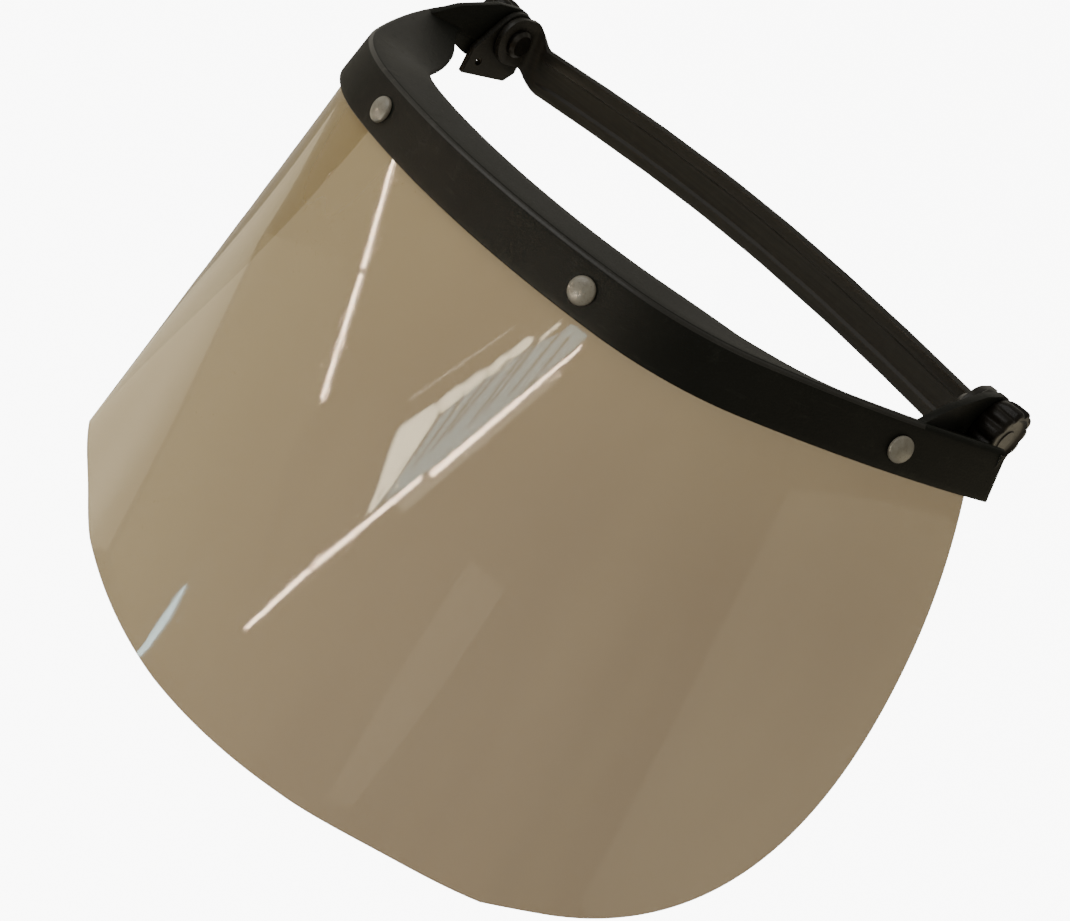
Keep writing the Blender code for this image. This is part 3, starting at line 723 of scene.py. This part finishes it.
def make_rivet(number, run):
    """Domed head with a narrow brim, a shank and a clinched foot, from one cylinder."""
    radius = RIVET_HEAD / 2
    grip = (WALL_THICKNESS + GAP) * math.cos(WALL_FLARE) + SHEET + 2 * GAP
    straight = RIVET_FOOT_STRAIGHT * RIVET_FOOT_THICKNESS
    rivet = start(bpy.ops.mesh.primitive_cylinder_add, f"rivet_turned_{number}", vertices=48,
                  radius=RIVET_SHANK_RADIUS, depth=grip + GAP, location=(0, 0, (GAP - grip) / 2))
    settle(rivet)
    with Editing(rivet) as edit:
        edit.pick("faces", lambda f: f.normal.z > 0.9)
        bpy.ops.mesh.extrude_region_move()
        bpy.ops.transform.resize(value=(radius / RIVET_SHANK_RADIUS,) * 2 + (1.0,),
                                 center_override=(0, 0, GAP))
        bpy.ops.mesh.extrude_region_move(TRANSFORM_OT_translate={"value": (0, 0, RIVET_BRIM)})
        rise = RIVET_DOME - RIVET_BRIM
        before = (1.0, 0.0)
        for angle in spread(0.0, math.pi / 2, 8)[1:]:
            after = (max(math.cos(angle), 0.04), math.sin(angle))
            bpy.ops.mesh.extrude_region_move(
                TRANSFORM_OT_translate={"value": (0, 0, rise * (after[1] - before[1]))})
            shrink = after[0] / before[0]
            bpy.ops.transform.resize(value=(shrink, shrink, 1.0), center_override=(0, 0, 0))
            before = after
        edit.pick("faces", lambda f: f.normal.z < -0.9
                  and abs(f.calc_center_median().z + grip) < 0.05 * MM)
        bpy.ops.mesh.extrude_region_move()
        bpy.ops.transform.resize(value=(RIVET_FOOT / 2 / RIVET_SHANK_RADIUS,) * 2 + (1.0,),
                                 center_override=(0, 0, -grip))
        bpy.ops.mesh.extrude_region_move(
            TRANSFORM_OT_translate={"value": (0, 0, -straight)})
        bpy.ops.mesh.extrude_region_move(
            TRANSFORM_OT_translate={"value": (0, 0, straight - RIVET_FOOT_THICKNESS)})
        bpy.ops.transform.resize(value=(RIVET_FOOT_END, RIVET_FOOT_END, 1.0),
                                 center_override=(0, 0, 0))
    rivet.matrix_world = rivet_matrix(run)
    settle(rivet)
    tidy_mesh(rivet)
    return dress(rivet, "shield", [f"rivet_{number}"], "rivet_white", RIVET_WHITE, angle=50.0)


# Knobs, plates and bolts

def make_knob(side, word):
    """Fluted cap with a raised rim round its dished face."""
    radius = KNOB_DIAMETER / 2
    knob = start(bpy.ops.mesh.primitive_cylinder_add, f"knob_fluted_{word}", vertices=144,
                 radius=radius, depth=KNOB_LENGTH, location=(0, 0, KNOB_LENGTH / 2))
    settle(knob)
    with Editing(knob) as edit:
        edit.pick("edges", lambda e: len({round(v.co.z, 5) for v in e.verts}) == 1
                  and e.verts[0].co.z > KNOB_LENGTH - 1e-5)
        bpy.ops.mesh.bevel(offset=KNOB_EDGE, segments=5, affect="EDGES")
        edit.pick("faces", lambda f: f.normal.z > 0.99 and len(f.verts) > 40)
        for inwards, upwards in KNOB_FACE:
            bpy.ops.mesh.inset(thickness=inwards * MM, depth=upwards * MM)
        edit.pick("faces", lambda f: abs(f.normal.z) < 0.2 and f.calc_area() > 2e-6)
        bpy.ops.mesh.subdivide(number_cuts=3)
    for vertex in knob.data.vertices:
        x, y, z = vertex.co
        r = math.hypot(x, y)
        grip = min(max((r - radius + FLUTE_REACH) / FLUTE_FADE, 0.0), 1.0)
        foot = min(max((z - FOOT_START) / FOOT_FADE, 0.0), 1.0)
        wave = (0.5 + 0.5 * math.cos(KNOB_FLUTES * math.atan2(y, x))) ** 2
        taper = FOOT_TAPER * (1.0 - foot) * grip
        shrink = 1.0 - (FLUTE_DEPTH * wave * grip * foot + taper) / max(r, MM)
        vertex.co.x *= shrink
        vertex.co.y *= shrink
    knob.location = (side * KNOB_INNER, 0.0, 0.0)
    knob.rotation_euler = (0.0, side * math.pi / 2, 0.0)
    settle(knob)
    tidy_mesh(knob)
    return dress(knob, f"knob_{word}_body", [f"knob_{word}"], "knob_black", KNOB_BLACK)


def copied(node, name):
    """A finished piece's start: the solid's own mesh, merged and free of its triangles."""
    piece = bpy.data.objects.new(name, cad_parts[node].data.copy())
    bpy.context.scene.collection.objects.link(piece)
    with Editing(piece):
        bpy.ops.mesh.select_all(action="SELECT")
        bpy.ops.mesh.remove_doubles(threshold=1e-6)
        bpy.ops.mesh.dissolve_limited(angle_limit=math.radians(1.0))
    return piece


def make_plate(word):
    """The solid itself, merged and shaded."""
    plate = copied(f"side_plate_{word}", f"side_plate_moulded_{word}")
    return dress(plate, "harness", [f"side_plate_{word}"], "plate_grey", PLATE_GREY)


def make_bolt(word):
    bolt = copied(f"pivot_bolt_{word}", f"pivot_bolt_turned_{word}")
    return dress(bolt, "harness", [f"pivot_bolt_{word}"], "bolt_steel", BOLT_STEEL)


# Rear strap

STRAP_EDGE = 0.4 * MM


def make_strap():
    """The band with its rims and edges softened."""
    strap = copied("rear_strap", "rear_strap_band")
    apply_modifier(strap, "BEVEL", width=STRAP_EDGE, segments=2, limit_method="ANGLE",
                   angle_limit=math.radians(40))
    return dress(strap, "harness", ["rear_strap"], "strap_black", STRAP_BLACK)


visor = make_visor()
make_carrier()
for number, (side, run) in enumerate(((-1, RIVET_RUNS[1]), (-1, RIVET_RUNS[0]),
                                      (1, RIVET_RUNS[0]), (1, RIVET_RUNS[1])), 1):
    make_rivet(number, side * run)
for side, word in ((1, "left"), (-1, "right")):
    make_knob(side, word)
    make_plate(word)
    make_bolt(word)
make_strap()


# Camera

def view_axes():
    """Right, up and backward directions of the photograph's view."""
    ca, sa = math.cos(VIEW_TURN), math.sin(VIEW_TURN)
    ce, se = math.cos(VIEW_RAISE), math.sin(VIEW_RAISE)
    level = Vector((ca, sa, 0.0))
    rise = Vector((-sa * se, ca * se, ce))
    back = Vector((sa * ce, -ca * ce, se))
    cr, sr = math.cos(VIEW_ROLL), math.sin(VIEW_ROLL)
    return level * cr + rise * sr, rise * cr - level * sr, back


def make_camera():
    """The photograph's camera, unshifted."""
    right, up, back = view_axes()
    data = bpy.data.cameras.new("photograph_view")
    data.sensor_fit = "HORIZONTAL"
    data.sensor_width = SENSOR_WIDTH
    data.lens = FOCAL_PIXELS * SENSOR_WIDTH / IMAGE_WIDTH
    data.clip_start = 0.01
    camera = bpy.data.objects.new("photograph_view", data)
    turn = Matrix((right, up, back)).transposed().to_4x4()
    camera.matrix_world = Matrix.Translation(EYE) @ turn
    bpy.context.scene.collection.objects.link(camera)
    bpy.context.scene.camera = camera


# Studio

STUDIO_WHITE = (9.0, 9.0, 9.0)           # what the camera sees beside the part
SEEN_THROUGH = (0.405, 0.285, 0.105)     # what it sees through the tinted sheet
FLOOR_SIZE, FLOOR_DROP = 60.0, 0.30      # the floor lies this far below the part
STRIP_STEPS = 24                         # lengths in a strip card
PATCH_STEP = 12.0                        # pixels between points of a patch card's outline
# Cards hang in layers, by their distance from the sheet: a nearer one covers those behind it.
ZONE_LAYER, HALO_LAYER, PANE_LAYER, SLAT_LAYER, SLAT_EDGE_LAYER = 0.54, 0.52, 0.50, 0.49, 0.485
WARM = (1.0, 0.74, 0.52)
CREAM = (1.0, 0.88, 0.62)
SKY = (0.62, 0.92, 1.0)


def glowing(name, color, strength):
    material = bpy.data.materials.new(name)
    material.use_nodes = True
    shader = material.node_tree.nodes["Principled BSDF"]
    shader.inputs["Base Color"].default_value = (0.0, 0.0, 0.0, 1.0)
    shader.inputs["Emission Color"].default_value = (*color, 1.0)
    shader.inputs["Emission Strength"].default_value = strength
    return material


class Mirror:
    """Finds where a studio card has to hang for the visor to show it at a pixel."""

    def __init__(self, piece):
        self.mesh = piece.data
        self.tree = BVHTree.FromPolygons([v.co for v in self.mesh.vertices],
                                         [tuple(p.vertices) for p in self.mesh.polygons])
        self.axes = view_axes()

    def card_point(self, pixel, distance):
        right, up, back = self.axes
        ray = (right * (pixel[0] - IMAGE_WIDTH / 2) - up * (pixel[1] - IMAGE_HEIGHT / 2)
               - back * FOCAL_PIXELS).normalized()
        place, _, face, _ = self.tree.ray_cast(EYE, ray)
        if place is None:
            return None
        corners = [self.mesh.vertices[i] for i in self.mesh.polygons[face].vertices]
        shares = poly_3d_calc([v.co for v in corners], place)
        normal = sum((v.normal * share for v, share in zip(corners, shares)), Vector())
        normal.normalize()
        if normal.dot(ray) > 0.0:
            normal = -normal
        bounce = ray - 2.0 * ray.dot(normal) * normal
        return place + bounce * distance


def hang_card(name, rows, color, strength):
    """A glowing card from rows of points, seen only as a reflection."""
    grid = bmesh.new()
    made = [[grid.verts.new(p) for p in row] for row in rows]
    if len(made) == 1:
        grid.faces.new(made[0])
        bmesh.ops.triangulate(grid, faces=grid.faces)
    for a, b in zip(made, made[1:]):
        grid.faces.new((a[0], a[1], b[1], b[0]))
    mesh = bpy.data.meshes.new(name)
    grid.to_mesh(mesh)
    grid.free()
    card = bpy.data.objects.new(name, mesh)
    mesh.materials.append(glowing(name, color, strength))
    bpy.context.scene.collection.objects.link(card)
    for kind in ("camera", "diffuse", "shadow", "transmission"):
        setattr(card, "visible_" + kind, False)


def reflected_strip(mirror, name, line, widths, color, strength, distance):
    """A card that the visor shows as a band between two pixels."""
    (x0, y0), (x1, y1) = line
    length = math.hypot(x1 - x0, y1 - y0)
    rows = []
    for share in spread(0.0, 1.0, STRIP_STEPS):
        x, y = x0 + (x1 - x0) * share, y0 + (y1 - y0) * share
        half = (widths[0] + (widths[1] - widths[0]) * share) / 2 / length
        pair = [mirror.card_point((x - s * half * (y1 - y0), y + s * half * (x1 - x0)), distance)
                for s in (-1.0, 1.0)]
        if None not in pair:
            rows.append(pair)
    hang_card(name, rows, color, strength)


def reflected_patch(mirror, name, outline, color, strength, distance):
    """A card that the visor shows as a patch with this outline of pixels."""
    points = []
    for (x0, y0), (x1, y1) in zip(outline, outline[1:] + outline[:1]):
        steps = max(1, round(math.hypot(x1 - x0, y1 - y0) / PATCH_STEP))
        for share in spread(0.0, 1.0, steps)[:-1]:
            point = mirror.card_point((x0 + (x1 - x0) * share, y0 + (y1 - y0) * share), distance)
            if point is not None:
                points.append(point)
    hang_card(name, [points], color, strength)


def area_light(name, place, target, size, power):
    data = bpy.data.lights.new(name, "AREA")
    data.shape = "RECTANGLE"
    data.size, data.size_y = size
    data.energy = power
    light = bpy.data.objects.new(name, data)
    place, target = Vector(place), Vector(target)
    light.matrix_world = (Matrix.Translation(place)
                          @ (target - place).to_track_quat("-Z", "Y").to_matrix().to_4x4())
    bpy.context.scene.collection.objects.link(light)
    return light


def seen_tones(paint, others):
    """White to the camera, the sheet's tone to the camera through it, others to all else."""
    path = paint.node("ShaderNodeLightPath", {}, {})
    through = Value(paint, path.outputs["Transparent Depth"]).between(0.4, 0.6)
    bare = paint.blend(through, STUDIO_WHITE, SEEN_THROUGH)
    return paint.blend(path.outputs["Is Camera Ray"], others, bare)


def make_floor():
    floor = start(bpy.ops.mesh.primitive_plane_add, "floor", size=FLOOR_SIZE,
                  location=(0.0, 0.0, solid_low.z - FLOOR_DROP))
    settle(floor)
    paint = Paint("pale_floor")
    cloud = paint.noise(0.6, 2.0)
    paint.bump(paint.noise(900.0, 2.0), 0.05, 0.0002)
    paint.feed(paint.shader.inputs["Emission Color"], seen_tones(paint, (0.0, 0.0, 0.0)))
    color = paint.blend(cloud, (0.80, 0.79, 0.76), (0.84, 0.83, 0.80))
    floor.data.materials.append(paint.finish(color, 0.75 + 0.05 * cloud, Emission_Strength=1.0))


def make_world():
    """Soft surround, brighter on the wearer's right and dimmer overhead."""
    paint = Paint("studio", world=True)
    soft = paint.blend(paint.axis("X").between(-0.9, 0.9), (0.80, 0.76, 0.66),
                       (0.28, 0.260, 0.215))
    soft = paint.blend(paint.axis("Z").between(0.1, 0.9), soft, (0.20, 0.190, 0.160))
    paint.feed(paint.shader.inputs["Color"], seen_tones(paint, soft))
    bpy.context.scene.world = paint.material


make_camera()
make_world()
make_floor()
area_light("key_softbox", (-0.9, -1.3, 1.6), (0, -0.05, -0.05), (1.6, 1.6), 18.0)
area_light("fill_softbox", (1.6, -0.8, 0.9), (0, -0.05, -0.05), (1.2, 1.2), 1.6)
area_light("top_softbox", (0.2, 0.6, 1.9), (0, 0, 0), (1.8, 1.2), 2.2)

# Cards that only the reflections show, each by the pixels at which the sheet shows it:
# two tubes and their glow, a louvred window, a far window and the room's paler walls.
mirror = Mirror(visor)
for name, line, widths in (("tube_one_upper", ((393, 160), (363, 268)), (2.5, 3.5)),
                           ("tube_one_lower", ((361, 274), (322, 399)), (3.5, 4.0)),
                           ("tube_two_upper", ((581, 347), (431, 475)), (2.5, 6.5)),
                           ("tube_two_middle", ((421, 478), (314, 566)), (4.5, 5.0)),
                           ("tube_two_lower", ((309, 570), (246, 628)), (4.5, 4.0))):
    reflected_strip(mirror, name, line, widths, WARM, 180.0, PANE_LAYER)
reflected_strip(mirror, "tube_two_halo", ((560, 372), (400, 508)), (10, 12), CREAM, 7.0,
                HALO_LAYER)
reflected_strip(mirror, "window_bar", ((514, 327), (409, 400)), (1.2, 1.2), CREAM, 20.0,
                PANE_LAYER)
reflected_patch(mirror, "window_pane", [(574, 325), (588, 336), (574, 348), (432, 468),
                                        (371, 510), (412, 462), (437, 420), (462, 396),
                                        (486, 378), (510, 361), (535, 345)], SKY, 13.0,
                PANE_LAYER)
for number, lobe in enumerate((
        [(399, 427), (433, 404), (438, 406), (436, 419), (411, 460), (372, 511), (367, 513),
         (376, 492), (386, 461)],
        [(440, 399), (460, 384), (464, 387), (461, 397), (441, 414), (438, 404)],
        [(464, 384), (481, 369), (487, 371), (485, 378), (466, 395), (463, 390)],
        [(489, 368), (504, 353), (509, 355), (508, 363), (490, 376)],
        [(510, 351), (527, 337), (533, 339), (530, 347), (510, 360)],
        [(540, 338), (556, 324), (562, 323), (539, 343)]), 1):
    reflected_patch(mirror, f"window_slat_{number}", lobe, CREAM, 54.0, SLAT_LAYER)
for number, line in enumerate((((570, 336), (520, 397)), ((560, 333), (508, 396)),
                               ((538, 342), (483, 413)), ((530, 345), (468, 427)),
                               ((510, 358), (448, 433)), ((486, 379), (430, 452)),
                               ((463, 397), (412, 468)), ((437, 419), (378, 508))), 1):
    reflected_strip(mirror, f"slat_edge_{number}", line, (2.6, 1.8), SKY, 0.5,
                    SLAT_EDGE_LAYER)
reflected_patch(mirror, "far_window", [(182, 588), (187, 584), (170, 618), (150, 646),
                                       (141, 651), (152, 630)], SKY, 36.0,
                PANE_LAYER)
for name, outline, strength in (
        ("pale_left", [(338, 103), (290, 191), (264, 230), (175, 418), (106, 552), (92, 540),
                       (86, 480), (100, 412), (130, 362), (333, 96)], 2.0),
        ("pale_below", [(345, 260), (322, 400), (290, 450), (245, 605), (210, 670), (180, 690),
                        (130, 630), (110, 556), (178, 420), (266, 232)], 1.0),
        ("pale_streak", [(470, 560), (400, 670), (325, 800), (350, 810), (440, 690),
                         (505, 590)], 2.0),
        ("pale_right", [(790, 490), (760, 590), (725, 680), (580, 905), (640, 905), (700, 890),
                        (790, 830), (850, 760), (905, 660), (960, 520), (880, 500)], 1.4),
        ("pale_rim", [(900, 600), (880, 675), (845, 740), (790, 825), (800, 822), (860, 745),
                      (905, 655), (925, 610)], 2.2)):
    reflected_patch(mirror, name, outline, CREAM, strength, ZONE_LAYER)
